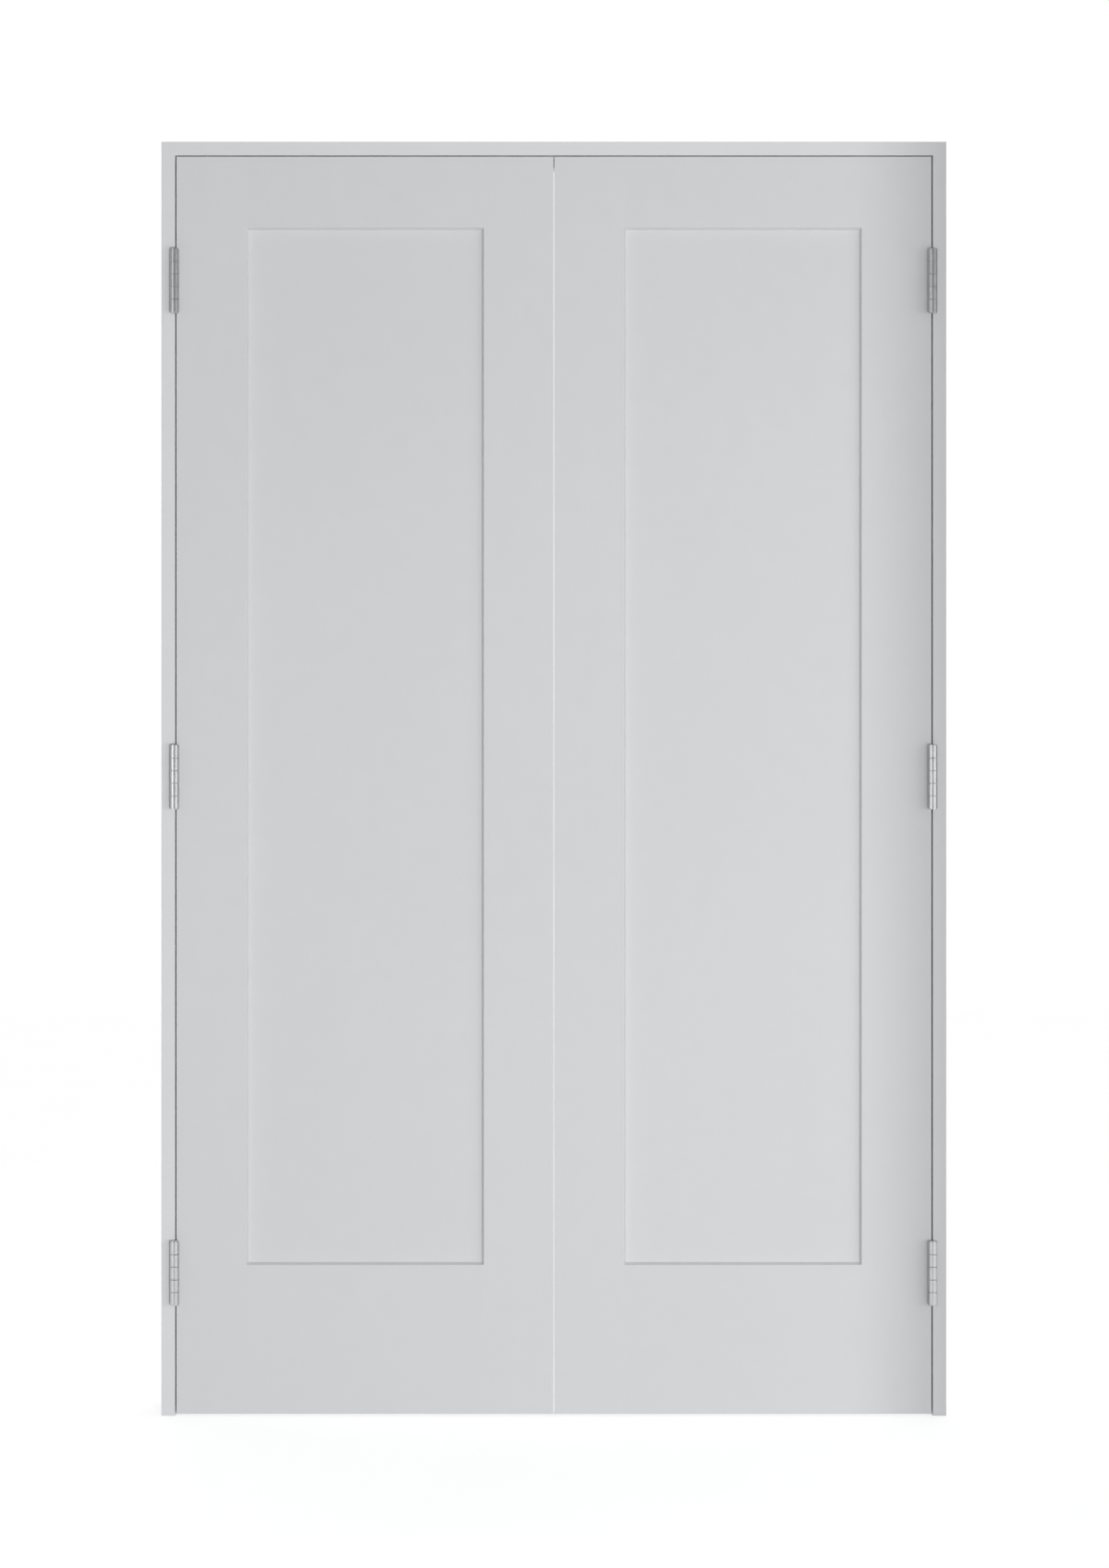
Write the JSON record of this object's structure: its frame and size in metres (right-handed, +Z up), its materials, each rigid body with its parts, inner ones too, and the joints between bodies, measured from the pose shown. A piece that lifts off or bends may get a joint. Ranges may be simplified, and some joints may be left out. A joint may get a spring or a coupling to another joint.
{
  "type": "prehung double door",
  "caption": "Tall flat-panel doors hung as a pair in a plain rectangular frame on butt hinges, meeting edge to edge and held shut by ball catches.",
  "frame": {"origin": "centre of the whole box in plan, at the feet of the jambs", "axes": "+Z up, +X to the right seen from the hinge side, -Y towards the hinge side that both doors swing to"},
  "size_m": [1.2682, 0.136, 2.059],
  "materials": {
    "door_primer": "satin",
    "frame_primer": "satin",
    "dowel_wood": "matte",
    "satin_nickel": "satin",
    "screw_steel": "satin",
    "nail_steel": "satin",
    "spring_steel": "satin",
    "ball_steel": "polished"
  },
  "bodies": {
    "frame": {"head_jamb": "frame_primer", "head_stop": "frame_primer", "head_screws": "screw_steel", "stop_nails": "nail_steel", "hinge_plugs": "satin_nickel", "strike_screws": "satin_nickel", "left_jamb": "frame_primer", "left_stop": "frame_primer", "left_jamb_screws": "satin_nickel", "left_strike": "satin_nickel", "left_top_jamb_leaf": "satin_nickel", "left_top_hinge_pin": "satin_nickel", "left_middle_jamb_leaf": "satin_nickel", "left_middle_hinge_pin": "satin_nickel", "left_bottom_jamb_leaf": "satin_nickel", "left_bottom_hinge_pin": "satin_nickel", "right_jamb": "frame_primer", "right_stop": "frame_primer", "right_jamb_screws": "satin_nickel", "right_strike": "satin_nickel", "right_top_jamb_leaf": "satin_nickel", "right_top_hinge_pin": "satin_nickel", "right_middle_jamb_leaf": "satin_nickel", "right_middle_hinge_pin": "satin_nickel", "right_bottom_jamb_leaf": "satin_nickel", "right_bottom_hinge_pin": "satin_nickel"},
    "left_door": {"left_hinge_stile": "door_primer", "left_meeting_stile": "door_primer", "left_top_rail": "door_primer", "left_bottom_rail": "door_primer", "left_panel": "door_primer", "left_dowels": "dowel_wood", "left_door_screws": "satin_nickel", "left_catch_barrel": "satin_nickel", "left_catch_spring": "spring_steel", "left_top_door_leaf": "satin_nickel", "left_middle_door_leaf": "satin_nickel", "left_bottom_door_leaf": "satin_nickel"},
    "right_door": {"right_hinge_stile": "door_primer", "right_meeting_stile": "door_primer", "right_top_rail": "door_primer", "right_bottom_rail": "door_primer", "right_panel": "door_primer", "right_dowels": "dowel_wood", "right_door_screws": "satin_nickel", "right_catch_barrel": "satin_nickel", "right_catch_spring": "spring_steel", "right_top_door_leaf": "satin_nickel", "right_middle_door_leaf": "satin_nickel", "right_bottom_door_leaf": "satin_nickel"},
    "left_ball": {"left_catch_ball": "ball_steel"},
    "right_ball": {"right_catch_ball": "ball_steel"}
  },
  "joints": [
    {"name": "left_door_swing", "type": "hinge", "parent": "frame", "child": "left_door", "pos_m": [-0.6111, -0.06073, 0], "axis": [0, 0, -1], "range_deg": [0, 175]},
    {"name": "right_door_swing", "type": "hinge", "parent": "frame", "child": "right_door", "pos_m": [0.6111, -0.06073, 0], "axis": [0, 0, 1], "range_deg": [0, 175]},
    {"name": "left_ball_press", "type": "slide", "parent": "left_door", "child": "left_ball", "axis": [0, 0, -1], "range_m": [0, 0.0045], "stiffness_N_per_m": 2500, "springref_m": -0.004, "deforming": ["left_catch_spring"]},
    {"name": "right_ball_press", "type": "slide", "parent": "right_door", "child": "right_ball", "axis": [0, 0, -1], "range_m": [0, 0.0045], "stiffness_N_per_m": 2500, "springref_m": -0.004, "deforming": ["right_catch_spring"]}
  ]
}
